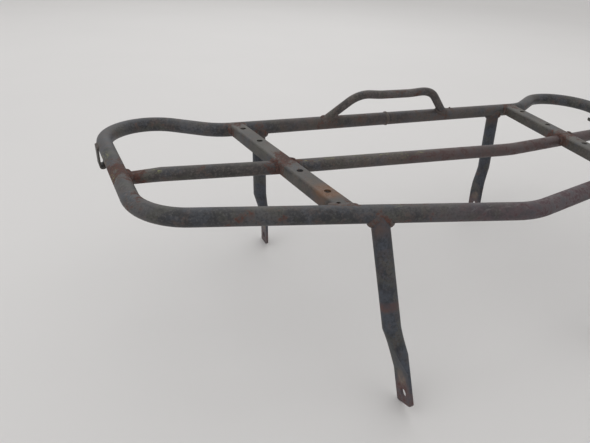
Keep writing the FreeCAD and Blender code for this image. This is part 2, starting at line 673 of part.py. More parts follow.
def strip_hook(name):
    """A flat strip that hangs from Z = hook_top and curls towards -X at the bottom."""
    body = new_body(name)
    thick, drop, curl = size("hook_strip"), size("hook_drop"), size("hook_curl")
    reach = size("hook_gap") + thick
    tip = -drop + size("hook_tip") + curl
    section = sketch_on(body, name + "_section", "XZ_Plane")
    outline(section, [
        (thick, size("hook_top"), 0), (thick, -drop, curl), (-reach, -drop, curl),
        (-reach, tip, 0), (-reach + thick, tip, 0),
        (-reach + thick, -drop + thick, curl - thick), (NONE, -drop + thick, curl - thick),
        (NONE, size("hook_top"), 0)], closed=True)
    pad(body, name + "_strip", section, size("hook_width"), symmetric=True)
    return body


end_slant = math.degrees(math.atan2(size("corner_x").value - size("rear_corner_x").value,
                                    size("corner_y").value + size("rear_corner_y").value))
end_x = size("corner_x").value - (size("corner_y").value + size("hook_y").value) \
    * math.tan(math.radians(end_slant))
HOOK_CLEARANCE = 0.1
for side, sign in SIDES:
    spin = turn(Z_AXIS, -end_slant if sign > 0 else 180.0 + end_slant)
    out = spin.multVec(FreeCAD.Vector(tube_radius.value + HOOK_CLEARANCE, 0, 0))
    spot = (sign * end_x + out.x, LOOP_PLACE[1] - size("hook_y").value + out.y, LOOP_PLACE[2])
    hook = place(strip_hook(side + "_strap_hook"), *spot, spin)
    nodes.append(hook)
    zone = doc.addObject("Part::Box", "hook_weld_zone_" + side)
    inset = size("hook_weld_inset")
    for prop, length in (("Length", size("hook_strip") + inset), ("Width", size("hook_width")),
                         ("Height", bead)):
        bind(zone, prop, length)
    shift = spin.multVec(FreeCAD.Vector(-inset.value, -size("hook_width").value / 2,
                                        size("hook_top").value))
    place(zone, spot[0] + shift.x, spot[1] + shift.y, spot[2] + shift.z, spin)
    fillet = combine("Part::Common", "hook_fillet_" + side, zone, loop_weld_zone)
    nodes.append(cut("hook_weld_" + side, fillet, loop_bar))


# ---- check and write ------------------------------------------------------------------------------

doc.recompute()
for thing in doc.Objects:
    if "Invalid" in thing.State or "Error" in thing.State:
        raise RuntimeError("%s did not compute: %s" % (thing.Name, thing.State))
os.makedirs("parts", exist_ok=True)
whole = FreeCAD.BoundBox()
for node in nodes:
    node.Label = node.Name
    if node.Shape.isNull() or not node.Shape.isValid() or not node.Shape.Solids:
        raise RuntimeError("%s has no valid solid" % node.Name)
    whole.add(node.Shape.BoundBox)
    node.Shape.exportStep("parts/%s.step" % node.Label)
    print("%-28s solids %d  volume %9.1f mm3" % (node.Label, len(node.Shape.Solids), node.Shape.Volume))
print("box", [round(value, 2) for value in (whole.XMin, whole.YMin, whole.ZMin, whole.XMax, whole.YMax,
                                            whole.ZMax)])
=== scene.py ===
import math
from collections import namedtuple

import bmesh
import bpy
from mathutils import Matrix, Vector, noise


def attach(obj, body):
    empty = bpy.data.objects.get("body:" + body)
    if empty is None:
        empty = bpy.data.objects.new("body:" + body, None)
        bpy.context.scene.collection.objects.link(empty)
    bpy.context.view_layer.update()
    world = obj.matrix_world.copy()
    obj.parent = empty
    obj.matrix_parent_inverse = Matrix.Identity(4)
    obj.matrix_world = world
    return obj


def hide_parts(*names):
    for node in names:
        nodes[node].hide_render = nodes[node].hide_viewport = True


# The rear rack's looks: worn charcoal paint over rusty steel tube, and lumpy weld beads at every joint.
# Places are in metres in the row frame: X along the rack, +Y towards the handle side, Z up.

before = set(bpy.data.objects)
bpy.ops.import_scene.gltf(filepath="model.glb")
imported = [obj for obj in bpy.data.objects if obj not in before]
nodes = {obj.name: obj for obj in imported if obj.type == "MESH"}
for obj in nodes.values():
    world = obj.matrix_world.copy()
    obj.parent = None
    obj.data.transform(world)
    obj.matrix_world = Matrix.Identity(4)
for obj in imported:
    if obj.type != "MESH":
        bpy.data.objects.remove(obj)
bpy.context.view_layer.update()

MM = 0.001
SIDES = (("left", -1), ("right", 1))

# ---- driving sizes, the same as the frame's ---------------------------------------------------------
TUBE_R = 11.1 * MM
RAIL_R = 9.525 * MM
ROD_R = 7.0 * MM
LOOP = Vector((0, 186.13, 211.5)) * MM         # middle of the handle-side rail
CORNER = Vector((496.5, 122.2, 0)) * MM        # handle-side corner, from LOOP
REAR_CORNER = Vector((448.6, -260.4, 0)) * MM  # open-side corner, from LOOP
APEX_Y = -364.4 * MM
HANDLE_LEG_X = {-1: 238.6 * MM, 1: 245.0 * MM}
HANDLE_LEG_LEAN, HANDLE_LEG_LENGTH = 6.0, 211.28 * MM
OPEN_LEG_X, OPEN_LEG_LEAN, OPEN_LEG_TILT, OPEN_LEG_LENGTH = 188.3 * MM, 26.65, 0.6, 229.71 * MM
FOOT_OFFSET = 7.5 * MM
CHANNEL_X, CHANNEL_SLANT = 277.4 * MM, 9.55
CHANNEL_HALF, CHANNEL_TOP, CHANNEL_FOOT, FOLD_R = 12.2 * MM, 10.6 * MM, -5.5 * MM, 3.5 * MM
CHANNEL_NEAR_END = 313 * MM                    # station where the open-side rail's bead is aimed from
RING_ON_LEG = 108 * MM                         # how far down a leg its ring of rust lies
CENTRE_START = Vector((-462.5, -141.5, -1.6)) * MM
CENTRE_SLANT, CENTRE_EASE, CENTRE_BEND = 5.64, 2.54, 9.95
CENTRE_LEAD, CENTRE_RUN, CENTRE_TAIL = 213.5 * MM, 375.1 * MM, 341.5 * MM
CRIMP_HALF_WIDTH, CRIMP_HALF_HEIGHT, CRIMP_DROP = 10.5 * MM, 7.0 * MM, 2.4 * MM
HANDLE_FOOT_X, HANDLE_TOP_X, HANDLE_RISE, HANDLE_LEAN = 126.5 * MM, 71.0 * MM, 59.0 * MM, 24.0
HOOK_Y, HOOK_HALF_WIDTH, HOOK_TOP, HOOK_STRIP = 33.0 * MM, 11.0 * MM, 2.0 * MM, 2.5 * MM


def turned(axis, degrees):
    return Matrix.Rotation(math.radians(degrees), 3, axis)


# ---- the surfaces that meet at a weld ---------------------------------------------------------------

class Tube:
    """An endless round tube."""

    def __init__(self, point, direction, radius):
        self.point, self.direction, self.radius = Vector(point), Vector(direction).normalized(), radius

    def foot(self, spot):
        return self.point + self.direction * (spot - self.point).dot(self.direction)

    def normal(self, spot):
        return (spot - self.foot(spot)).normalized()

    def snap(self, spot, depth):
        return self.foot(spot) + self.normal(spot) * (self.radius - depth)

    def hit(self, start, direction):
        """The outermost point of a line on the tube, or None."""
        across = direction - self.direction * direction.dot(self.direction)
        away = (start - self.point) - self.direction * (start - self.point).dot(self.direction)
        a, b, c = across.dot(across), across.dot(away), away.dot(away) - self.radius ** 2
        root = b * b - a * c
        if root < 0:
            return None
        return start + direction * ((-b + math.sqrt(root)) / a)


class Plane:
    """A flat face through a point."""

    def __init__(self, point, normal):
        self.point, self.facing = Vector(point), Vector(normal).normalized()

    def normal(self, spot):
        return self.facing.copy()

    def snap(self, spot, depth):
        return spot - self.facing * ((spot - self.point).dot(self.facing) + depth)

    def hit(self, start, direction):
        return start + direction * ((self.point - start).dot(self.facing) / direction.dot(self.facing))


Station = namedtuple("Station", "spot host_normal own_normal")


def stations_round(host, start, direction, side, radius, from_deg=0, to_deg=360, step=0.5 * MM):
    """Where a round bar that leaves start along direction comes out of the host surface."""
    direction = direction.normalized()
    side = (side - direction * side.dot(direction)).normalized()
    other = direction.cross(side)
    count = max(8, int(math.radians(to_deg - from_deg) * radius / step))
    found = []
    for i in range(count + (to_deg - from_deg < 360)):
        angle = math.radians(from_deg + (to_deg - from_deg) * i / count)
        outward = side * math.cos(angle) + other * math.sin(angle)
        spot = host.hit(start + outward * radius, direction)
        if spot is not None:
            found.append(Station(spot, host.normal(spot), outward))
    return found


def stations_outline(host, start, direction, outline):
    """The same for any outline of (offset, outward normal) pairs round the bar's axis."""
    found = []
    for offset, outward in outline:
        spot = host.hit(start + offset, direction)
        if spot is not None:
            found.append(Station(spot, host.normal(spot), outward))
    return found


def rounded_outline(across, up, corners, closed, step=0.5 * MM):
    """(offset, outward normal) pairs along straight stretches with round corners (x, z, radius)."""
    pairs = []
    count = len(corners)
    flat = [Vector((x, z)) for x, z, radius in corners]
    for i in range(count if closed else count - 1):
        a, b = flat[i], flat[(i + 1) % count]
        run = (b - a).normalized()
        outward = Vector((-run.y, run.x))
        first = a + run * (corners[i][2] if closed or i > 0 else 0)
        last_round = corners[(i + 1) % count][2] if closed or i < count - 2 else 0
        last = b - run * last_round
        steps = max(2, int((last - first).length / step))
        for k in range(steps + 1):
            spot = first.lerp(last, k / steps)
            pairs.append((spot, outward))
        if last_round:
            turn_to = (flat[(i + 2) % count] - b).normalized()
            next_outward = Vector((-turn_to.y, turn_to.x))
            centre = last - outward * last_round
            arc_steps = max(3, int(last_round * math.pi / 2 / step))
            for k in range(1, arc_steps):
                mid = outward.slerp(next_outward, k / arc_steps)
                pairs.append((centre + mid * last_round, mid))
    return [(across * p.x + up * p.y, across * n.x + up * n.y) for p, n in pairs]


# ---- weld beads -------------------------------------------------------------------------------------

CROWN_STEPS = 9                 # points across the crown
BURIED = 0.25 * MM              # how deep the toes lie under the surfaces that they meet
RIPPLE_PITCH, RIPPLE_HEIGHT = 2.4 * MM, 0.34 * MM
GRIT_HEIGHT = 0.22 * MM
CHEVRON = 9                     # how far the ripples lag at the toes
LUMP_CELLS, WANDER_CELLS, GRIT_CELLS = 160, 330, 900     # fineness of the noise, in cells per metre
END_STATIONS, END_SHARE = 6, 0.35                        # an open bead's ends thin out to this share

Bead = namedtuple("Bead", "reach bulge")
LEG_BEAD = Bead(4.6 * MM, 0.9 * MM)
CHANNEL_BEAD = Bead(4.2 * MM, 0.8 * MM)
CROSSING_BEAD = Bead(3.6 * MM, 0.8 * MM)
RAIL_END_BEAD = Bead(4.0 * MM, 0.8 * MM)
HANDLE_BEAD = Bead(3.8 * MM, 0.8 * MM)
HOOK_BEAD, HOOK_TOP_REACH = Bead(3.4 * MM, 0.7 * MM), 2.6 * MM
BUTT_BEAD = Bead(3.2 * MM, 1.3 * MM)


def weld_mesh(builder, stations, host, own, bead, closed, seed=0.0, own_reach=None, swell=None):
    """One bead of filler along a joint: ripples across it, and toes that wander over both surfaces.

    host and own put a point onto the surfaces that meet.  The bead's reach is how far the toes run
    out, and swell gives the share of reach and bulge by the direction in which the joint faces."""
    own_reach = own_reach or bead.reach
    travelled, last, rings = 0.0, stations[0].spot, []
    for i, (spot, host_normal, own_normal) in enumerate(stations):
        travelled += (spot - last).length
        last = spot
        lump = noise.noise(spot * LUMP_CELLS + Vector((seed, 0, 0)))
        wander = noise.noise(spot * WANDER_CELLS + Vector((0, seed, 7)))
        bisector = (host_normal + own_normal).normalized()
        on_host = own_normal - host_normal * own_normal.dot(host_normal)
        on_own = host_normal - own_normal * host_normal.dot(own_normal)
        taper = 1.0
        if not closed:
            end = min(i, len(stations) - 1 - i) / END_STATIONS
            taper = min(1.0, END_SHARE + (1 - END_SHARE) * end)
        if swell:
            taper *= swell(own_normal)
        host_toe = spot + on_host.normalized() * bead.reach * taper * (1 + 0.30 * lump + 0.16 * wander)
        own_toe = spot + on_own.normalized() * own_reach * taper * (1 - 0.26 * wander + 0.2 * lump)
        host_toe, own_toe = host(host_toe, BURIED), own(own_toe, BURIED)
        control = (host_toe + own_toe) / 2 + bisector * bead.bulge * 2 * taper * (1 + 0.55 * lump)
        ring = [spot - bisector * BURIED * 3, host_toe]
        for k in range(1, CROWN_STEPS):
            a = k / CROWN_STEPS
            point = host_toe * (1 - a) ** 2 + control * 2 * a * (1 - a) + own_toe * a * a
            chevron = (a - 0.5) ** 2 * CHEVRON
            ripple = 0.5 + 0.5 * math.cos(2 * math.pi * travelled / RIPPLE_PITCH + chevron)
            grit = noise.noise(point * GRIT_CELLS + Vector((seed, 3, 0)))
            rough = RIPPLE_HEIGHT * ripple + GRIT_HEIGHT * grit
            ring.append(point + bisector * math.sin(math.pi * a) * rough)
        ring.append(own_toe)
        rings.append([builder.verts.new(point) for point in ring])
    size = len(rings[0])
    for i in range(len(rings) if closed else len(rings) - 1):
        ring, after = rings[i], rings[(i + 1) % len(rings)]
        for k in range(size):
            builder.faces.new((ring[k], ring[(k + 1) % size], after[(k + 1) % size], after[k]))
    if not closed:
        builder.faces.new(rings[0])
        builder.faces.new(list(reversed(rings[-1])))


def spatter(builder, spot, normal, radius):
    """One half-buried ball of weld metal."""
    place = Matrix.Translation(spot + normal * radius * 0.25)
    made = bmesh.ops.create_icosphere(builder, subdivisions=2, radius=radius, matrix=place)
    for vert in made["verts"]:
        vert.co += (vert.co - spot).normalized() * noise.noise(vert.co * 1500) * radius * 0.25


def finish_piece(name, builder, replaced, material):
    """Turns the built mesh into an object that rides on the frame in a node's place."""
    bmesh.ops.recalc_face_normals(builder, faces=builder.faces)
    mesh = bpy.data.meshes.new(name)
    builder.to_mesh(mesh)
    builder.free()
    mesh.shade_smooth()
    piece = bpy.data.objects.new(name, mesh)
    bpy.context.scene.collection.objects.link(piece)
    mesh.materials.append(material)
    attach(piece, "root")
    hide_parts(replaced)
    return piece


# ---- shader building --------------------------------------------------------------------------------

class Graph:
    """Shader nodes of one material, by short names."""

    def __init__(self, name):
        self.material = bpy.data.materials.new(name)
        self.material.use_nodes = True
        self.tree = self.material.node_tree
        self.tree.nodes.clear()
        self.place = self.add("ShaderNodeTexCoord").outputs["Object"]

    def add(self, kind, inputs=(), **settings):
        made = self.tree.nodes.new(kind)
        for key, value in settings.items():
            setattr(made, key, value)
        for socket, value in inputs:
            if isinstance(value, bpy.types.NodeSocket):
                self.tree.links.new(value, made.inputs[socket])
            else:
                made.inputs[socket].default_value = value
        return made

    def noise(self, scale, detail=4.0, rough=0.6, where=None, warp=0.0):
        made = self.add("ShaderNodeTexNoise", [("Vector", where or self.place), ("Scale", scale),
                                               ("Detail", detail), ("Roughness", rough),
                                               ("Distortion", warp)])
        return made.outputs["Fac"]

    def stretched(self, scales, offset=(0, 0, 0)):
        made = self.add("ShaderNodeMapping", [("Vector", self.place), ("Scale", scales),
                                              ("Location", offset)])
        return made.outputs["Vector"]

    def step(self, value, low, high, to_low=0.0, to_high=1.0):
        made = self.add("ShaderNodeMapRange", [("Value", value), ("From Min", low), ("From Max", high),
                                               ("To Min", to_low), ("To Max", to_high)],
                        interpolation_type="SMOOTHSTEP")
        return made.outputs["Result"]

    def math(self, operation, a, b=0.0, clamp=False):
        return self.add("ShaderNodeMath", [(0, a), (1, b)], operation=operation,
                        use_clamp=clamp).outputs[0]

    def mix(self, factor, a, b, mode="MIX"):
        made = self.add("ShaderNodeMix", data_type="RGBA", blend_type=mode)
        for index, value in ((0, factor), (6, a), (7, b)):
            if isinstance(value, bpy.types.NodeSocket):
                self.tree.links.new(value, made.inputs[index])
            elif index == 0:
                made.inputs[index].default_value = value
            else:
                made.inputs[index].default_value = (*value, 1.0)
        return made.outputs[2]

    def near(self, centre, inner, outer, squash=(1, 1, 1)):
        """1 within inner of a point, falling to 0 at outer."""
        shifted = self.add("ShaderNodeVectorMath", [(0, self.place), (1, centre)],
                           operation="SUBTRACT").outputs[0]
        scaled = self.add("ShaderNodeVectorMath", [(0, shifted), (1, squash)],
                          operation="MULTIPLY").outputs[0]
        length = self.add("ShaderNodeVectorMath", [(0, scaled)], operation="LENGTH").outputs["Value"]
        return self.step(length, inner, outer, 1.0, 0.0)

    def most(self, masks):
        total = masks[0]
        for mask in masks[1:]:
            total = self.math("MAXIMUM", total, mask)
        return total

    def finish(self, color, rough, height, bump):
        bumped = self.add("ShaderNodeBump", [("Height", height), ("Strength", bump),
                                             ("Distance", 0.4 * MM)])
        shader = self.add("ShaderNodeBsdfPrincipled", [("Base Color", color), ("Roughness", rough),
                                                       ("Normal", bumped.outputs[0])])
        out = self.add("ShaderNodeOutputMaterial")
        self.tree.links.new(shader.outputs[0], out.inputs[0])
        return self.material


Bloom = namedtuple("Bloom", "centre inner outer strength")
Stain = namedtuple("Stain", "centre inner outer strength tone squash")


def bloom(centre, inner, outer, strength):
    """More rust within outer millimetres of a place, and most within inner."""
    return Bloom(centre, inner * MM, outer * MM, strength)


def stain(centre, inner, outer, strength, tone, squash=(1, 1, 1)):
    """A tone laid over the paint near a place; squash above 1 makes it shorter along that axis."""
    return Stain(centre, inner * MM, outer * MM, strength, tone, squash)


# fineness of the paint's noise layers, in cells per metre
BROAD_CELLS, CLOUD_CELLS, PATCH_CELLS, FINE_CELLS, GRAIN_CELLS = 14, 30, 62, 300, 1500
CHIP_CELLS, CHIP_AREA_CELLS, SCRATCH_CELLS = 420.0, 34, 260
# rust shows where the drive passes RUST_START, and is full at RUST_FULL; its stained edge comes first
RUST_START, RUST_FULL, EDGE_START, EDGE_FULL = 0.70, 0.86, 0.62, 0.78
PATCH_SHARE, FINE_SHARE, DRIVE_SHIFT = 1.25, 0.65, 0.45
PAINT_ROUGH, RUST_ROUGH = 0.53, 0.88

RUST_DARK = (0.038, 0.018, 0.015)
RUST_RED = (0.105, 0.045, 0.035)
RUST_ORANGE = (0.175, 0.088, 0.048)
BROWN = (0.078, 0.056, 0.048)
OLIVE = (0.064, 0.063, 0.047)
SLATE = (0.044, 0.052, 0.068)
# tone of the dust and the painted sheen that lighten up-facing surfaces
DUST_AND_SHEEN_TONE = (0.13, 0.125, 0.115)
SCUFF = (0.30, 0.31, 0.12)
MAROON = (0.082, 0.052, 0.052)
BARE = (0.21, 0.20, 0.195)


def worn_paint(name, deep, pale, rust, blooms=(), scuffs=(), stains=(), dust_and_sheen=0.08, seed=0.0, brown=0.35):
    """Old satin paint: blotched in brown, olive and slate, lighter on top from dust and painted sheen,
    and chipped to rust where the blooms and the noise say."""
    g = Graph(name)
    chalk = tuple(part * 1.5 for part in pale)
    moved = g.stretched((1, 1, 1), (seed, seed * 0.7, seed * 0.3))
    broad = g.noise(BROAD_CELLS, 3, 0.55, moved)
    cloud = g.noise(CLOUD_CELLS, 5, 0.6, g.stretched((1, 1, 1), (seed + 5, 0, 0)), 0.3)
    patch = g.noise(PATCH_CELLS, 6, 0.66, moved, 0.5)
    fine = g.noise(FINE_CELLS, 5, 0.68, moved)
    grain = g.noise(GRAIN_CELLS, 3, 0.6, moved)

    paint = g.mix(g.step(broad, 0.40, 0.60), deep, pale)
    paint = g.mix(g.math("MULTIPLY", g.step(cloud, 0.51, 0.60), 0.6), paint, SLATE)
    paint = g.mix(g.math("MULTIPLY", g.step(cloud, 0.40, 0.48, 1.0, 0.0), 0.5), paint, OLIVE)
    paint = g.mix(g.math("MULTIPLY", g.step(patch, 0.49, 0.58), brown), paint, BROWN)
    paint = g.mix(g.step(fine, 0.50, 0.62, 0.0, 0.65), paint, chalk)
    paint = g.mix(g.step(fine, 0.38, 0.48, 0.75, 0.0), paint, deep)

    # dust, chalking and painted sheen: the paint is lighter where the surface faces up
    facing = g.add("ShaderNodeNewGeometry").outputs["Normal"]
    up = g.add("ShaderNodeSeparateXYZ", [(0, facing)]).outputs["Z"]
    up_dust_and_sheen = g.math("MULTIPLY", g.step(up, 0.35, 1.0), g.step(fine, 0.3, 0.7, 0.3, 1.0))
    paint = g.mix(g.math("MULTIPLY", up_dust_and_sheen, dust_and_sheen), paint, DUST_AND_SHEEN_TONE)

    # rust: the noise has to pass a threshold that the blooms lower
    drive = g.math("ADD", g.math("MULTIPLY", patch, PATCH_SHARE), g.math("MULTIPLY", fine, FINE_SHARE))
    drive = g.math("SUBTRACT", drive, DRIVE_SHIFT)
    if blooms:
        masks = [g.math("MULTIPLY", g.near(b.centre, b.inner, b.outer), b.strength) for b in blooms]
        drive = g.math("ADD", drive, g.most(masks))
    rusty = g.step(drive, RUST_START - rust, RUST_FULL - rust)
    edge = g.step(drive, EDGE_START - rust, EDGE_FULL - rust)
    chips = g.add("ShaderNodeTexVoronoi", [("Vector", moved), ("Scale", CHIP_CELLS)],
                  feature="F1").outputs["Distance"]
    chip_area = g.step(g.noise(CHIP_AREA_CELLS, 3, 0.6, moved), 0.5, 0.62)
    chip = g.math("MULTIPLY", g.step(chips, 0.10, 0.24, 1.0, 0.0), chip_area)
    rust_tone = g.mix(g.step(fine, 0.35, 0.66), RUST_DARK, RUST_RED)
    rust_tone = g.mix(g.math("MULTIPLY", g.step(grain, 0.55, 0.72), 0.45), rust_tone, RUST_ORANGE)
    color = g.mix(g.math("MULTIPLY", edge, 0.5), paint, BROWN)
    color = g.mix(g.math("MULTIPLY", rusty, 0.86), color, rust_tone)
    color = g.mix(g.math("MULTIPLY", chip, 0.7), color, RUST_DARK)

    for stain in stains:
        mask = g.near(stain.centre, stain.inner, stain.outer, stain.squash)
        mask = g.math("MULTIPLY", mask, g.step(patch, 0.35, 0.6, 0.35, 1.0))
        color = g.mix(g.math("MULTIPLY", mask, stain.strength), color, stain.tone)
    if scuffs:
        lines = g.noise(SCRATCH_CELLS, 4, 0.7, g.stretched((0.35, 1.6, 1.0)), 0.6)
        lines = g.step(lines, 0.56, 0.64)
        for scuff in scuffs:
            mask = g.math("MULTIPLY", lines, g.near(scuff.centre, scuff.inner, scuff.outer, scuff.squash))
            color = g.mix(g.math("MULTIPLY", mask, scuff.strength), color, scuff.tone)

    rough = g.mix(rusty, (PAINT_ROUGH,) * 3, (RUST_ROUGH,) * 3)
    rough = g.math("ADD", rough, g.step(fine, 0.3, 0.7, -0.10, 0.14))
    height = g.math("ADD", g.math("MULTIPLY", grain, 0.10), g.math("MULTIPLY", fine, 0.26))
    height = g.math("ADD", height, g.math("MULTIPLY", g.math("MULTIPLY", rusty, grain), 1.0))
    height = g.math("SUBTRACT", height, g.math("MULTIPLY", edge, 0.35))
    return g.finish(color, rough, height, 0.8)


# ---- where things are -------------------------------------------------------------------------------

def open_rail(sign):
    start = LOOP + Vector((0, APEX_Y, 0))
    end = LOOP + Vector((sign * REAR_CORNER.x, REAR_CORNER.y, 0))
    return Tube(start, end - start, TUBE_R)


def end_rail(sign):
    start = LOOP + Vector((sign * CORNER.x, CORNER.y, 0))
    end = LOOP + Vector((sign * REAR_CORNER.x, REAR_CORNER.y, 0))
    return Tube(start, end - start, TUBE_R)


def on_open_rail(x):
    rail = open_rail(1 if x > 0 else -1)
    return rail.point + rail.direction * ((x - rail.point.x) / rail.direction.x)


handle_rail = Tube(LOOP, (1, 0, 0), TUBE_R)


def leg_line(end, sign):
    """Top point and downward direction of a leg, and the rail that it hangs from."""
    if end == "handle_side":
        top, host = LOOP + Vector((sign * HANDLE_LEG_X[sign], 0, 0)), handle_rail
        lean, tilt = HANDLE_LEG_LEAN, 0.0
    else:
        top, host = on_open_rail(sign * OPEN_LEG_X), open_rail(sign)
        lean, tilt = OPEN_LEG_LEAN, OPEN_LEG_TILT
    down = turned("X", -lean) @ turned("Y", sign * tilt) @ Vector((0, 0, -1))
    return top, down, host


def along_leg(end, sign, from_end):
    """A place on the outer side of a leg, by its distance from the foot's end."""
    top, down, host = leg_line(end, sign)
    length = HANDLE_LEG_LENGTH if end == "handle_side" else OPEN_LEG_LENGTH
    return top + down * (length - from_end * MM) + Vector((-sign * FOOT_OFFSET, 0, 0))


def channel_line(sign):
    """Start, direction towards the open side and sideways direction of a channel."""
    spin = turned("Z", -sign * CHANNEL_SLANT)
    start = LOOP + Vector((sign * CHANNEL_X, 0, 0))
    return start, spin @ Vector((0, -1, 0)), spin @ Vector((1, 0, 0))


def channel_top_spot(sign, station):
    """A place on a channel's top face, by its distance from the handle-side rail's axis."""
    start, along, across = channel_line(sign)
    return start + along * station * MM + Vector((0, 0, CHANNEL_TOP))


def centre_lines():
    """(start, direction) of the centre rail's three straight stretches, from the left."""
    angles = (-CENTRE_SLANT, CENTRE_EASE - CENTRE_SLANT, CENTRE_EASE + CENTRE_BEND - CENTRE_SLANT)
    lead, run, tail = (turned("Z", angle) @ Vector((1, 0, 0)) for angle in angles)
    start = LOOP + CENTRE_START
    ease = start + lead * CENTRE_LEAD
    return (start, lead), (ease, run), (ease + run * CENTRE_RUN, tail)


def channel_crossing(sign):
    """Where the centre rail's axis passes through a channel's middle, and the rail's direction there."""
    point, direction = centre_lines()[1 if sign < 0 else 2]
    start, along, across = channel_line(sign)
    travel = (start - point).dot(across) / direction.dot(across)
    return point + direction * travel, direction


def rail_end(sign):
    lead, run, (corner, tail) = centre_lines()
    return lead if sign < 0 else (corner + tail * CENTRE_TAIL, -tail)


def handle_foot(sign):
    lean = turned("X", HANDLE_LEAN)
    foot = LOOP + lean @ Vector((sign * HANDLE_FOOT_X, 0, 0))
    top = LOOP + lean @ Vector((sign * HANDLE_TOP_X, 0, HANDLE_RISE))
    return foot, (top - foot).normalized()


# ---- materials --------------------------------------------------------------------------------------

def near_loop(x, y, z=9.0):
    """A place by its distances from the middle of the handle-side rail, in millimetres."""
    return LOOP + Vector((x, y, z)) * MM


def joint_rust():
    """Blooms round the welds at the legs, channels, crossings, rail ends and handle feet."""
    found = []
    for side, sign in SIDES:
        for end in ("handle_side", "open_side"):
            top, down, host = leg_line(end, sign)
            found.append(bloom(top + down * 9 * MM, 6, 26, 0.22))
        start, along, across = channel_line(sign)
        found.append(bloom(start + along * 14 * MM, 8, 34, 0.20))
        found.append(bloom(start + along * 306 * MM, 6, 28, 0.18))
        found.append(bloom(channel_crossing(sign)[0], 14, 40, 0.32))
        found.append(bloom(rail_end(sign)[0], 14, 62, 0.32))
        found.append(bloom(handle_foot(sign)[0], 8, 28, 0.22))
    return found


def loop_paint():
    rust = [
        bloom(near_loop(-337, -295), 6, 24, 0.16), bloom(near_loop(-301, -304), 4, 16, 0.16),
        bloom(near_loop(-447, -226), 6, 22, 0.16), bloom(near_loop(-100, -4), 10, 40, 0.16),
        bloom(near_loop(70, -362, -9), 50, 190, 0.17), bloom(near_loop(-60, -338, -8), 30, 130, 0.08),
        bloom(near_loop(0, 0, 0), 40, 160, 0.07), bloom(near_loop(330, -290, 0), 60, 160, 0.08),
    ]
    scuffs = [
        stain(near_loop(-482, -90), 4, 24, 0.8, SCUFF, (1.6, 0.8, 1)),
        stain(near_loop(-474, -158), 4, 22, 0.8, SCUFF, (1.6, 0.8, 1)),
        stain(near_loop(-168, -323), 2, 11, 0.7, SCUFF),
        stain(near_loop(-60, -352, 12), 10, 110, 0.5, BARE, (0.8, 3.0, 12)),
        stain(near_loop(-465, -215, 10), 10, 50, 0.4, BARE, (1, 1, 4)),
    ]
    stains = [
        stain(near_loop(70, -352, 4), 90, 260, 0.85, (0.080, 0.054, 0.063)),
        stain(near_loop(0, 0, 0), 150, 300, 0.5, BROWN),
    ]
    return worn_paint("worn_paint_loop", (0.017, 0.018, 0.021), (0.057, 0.056, 0.058), 0.035,
                      joint_blooms + rust, scuffs, stains)


def leg_paint():
    """Blue-black, brown under the weld, and rusty at the crush and on the foot."""
    rust, stains = [], []
    for side, sign in SIDES:
        for end in ("handle_side", "open_side"):
            top, down, host = leg_line(end, sign)
            rust.append(bloom(along_leg(end, sign, 10), 12, 34, 0.26))
            rust.append(bloom(along_leg(end, sign, 76), 4, 15, 0.22))
            stains.append(stain(top + down * 12 * MM, 10, 22, 0.8, (0.070, 0.042, 0.036)))
            stains.append(stain(along_leg(end, sign, 12), 8, 30, 0.7, (0.105, 0.060, 0.060)))
            stains.append(stain(along_leg(end, sign, 33), 3, 13, 0.8, (0.17, 0.125, 0.09)))
    # a ring of rust round one leg: only the tube's surface lies within the stain's reach
    top, down, host = leg_line("open_side", -1)
    stains.append(stain(top + down * RING_ON_LEG, 11.2, 13.2, 0.9, (0.080, 0.036, 0.032)))
    return worn_paint("worn_paint_legs", (0.010, 0.012, 0.018), (0.034, 0.040, 0.052), -0.05,
                      # the dust amount here also sets the painted sheen on up-facing surfaces
                      joint_blooms + rust, stains=stains, dust_and_sheen=0.1, seed=2.0, brown=0.3)


def channel_paint():
    """Thin grey-olive paint, orange-brown round the left channel's last bolt hole."""
    stains = [stain(channel_top_spot(-1, 274), 8, 30, 1.0, (0.13, 0.062, 0.028)),
              stain(channel_top_spot(-1, 246), 3, 18, 0.5, (0.11, 0.068, 0.042))]
    return worn_paint("worn_paint_channels", (0.030, 0.028, 0.026), (0.066, 0.061, 0.054), 0.03,
                      joint_blooms, stains=stains, dust_and_sheen=0.2, seed=4.0)


def centre_rail_paint():
    """Maroon towards the right, with yellow-green scuffs along its top on the left."""
    rust = [bloom(near_loop(110, -185, 0), 60, 260, 0.15)]
    scuffs = [stain(near_loop(-205, -165, 9), 6, 40, 0.8, SCUFF, (0.6, 4, 5)),
              stain(near_loop(-85, -170, 9), 12, 70, 0.8, SCUFF, (0.6, 4, 5)),
              stain(near_loop(-417, -150, 8), 3, 9, 0.7, SCUFF)]
    stains = [stain(near_loop(150, -175, 0), 120, 300, 0.9, MAROON)]
    return worn_paint("worn_paint_centre_rail", (0.026, 0.023, 0.023), (0.074, 0.066, 0.062), 0.04,
                      joint_blooms + rust, scuffs, stains, dust_and_sheen=0.14, seed=6.0)


def handle_paint():
    rust = [bloom(near_loop(10, -28, 48), 20, 60, 0.12)]
    return worn_paint("worn_paint_handle", (0.032, 0.027, 0.026), (0.088, 0.076, 0.072), 0.04,
                      joint_blooms + rust, dust_and_sheen=0.2, seed=8.0)


def hook_paint():
    return worn_paint("worn_paint_hooks", (0.022, 0.022, 0.024), (0.046, 0.042, 0.040), 0.0, seed=10.0)


def weld_paint():
    return worn_paint("rusty_weld_metal", (0.042, 0.034, 0.032), (0.082, 0.062, 0.055), 0.10,
                      joint_blooms, dust_and_sheen=0.12, seed=12.0, brown=0.7)


joint_blooms = joint_rust()
loop_material = loop_paint()
leg_material = leg_paint()
channel_material = channel_paint()
centre_material = centre_rail_paint()
handle_material = handle_paint()
hook_material = hook_paint()
weld_material = weld_paint()


def paint_node(name, material):
    mesh = nodes[name].data
    if not mesh.materials:
        mesh.materials.append(material)
    for slot in nodes[name].material_slots:
        slot.link = "OBJECT"
        slot.material = material


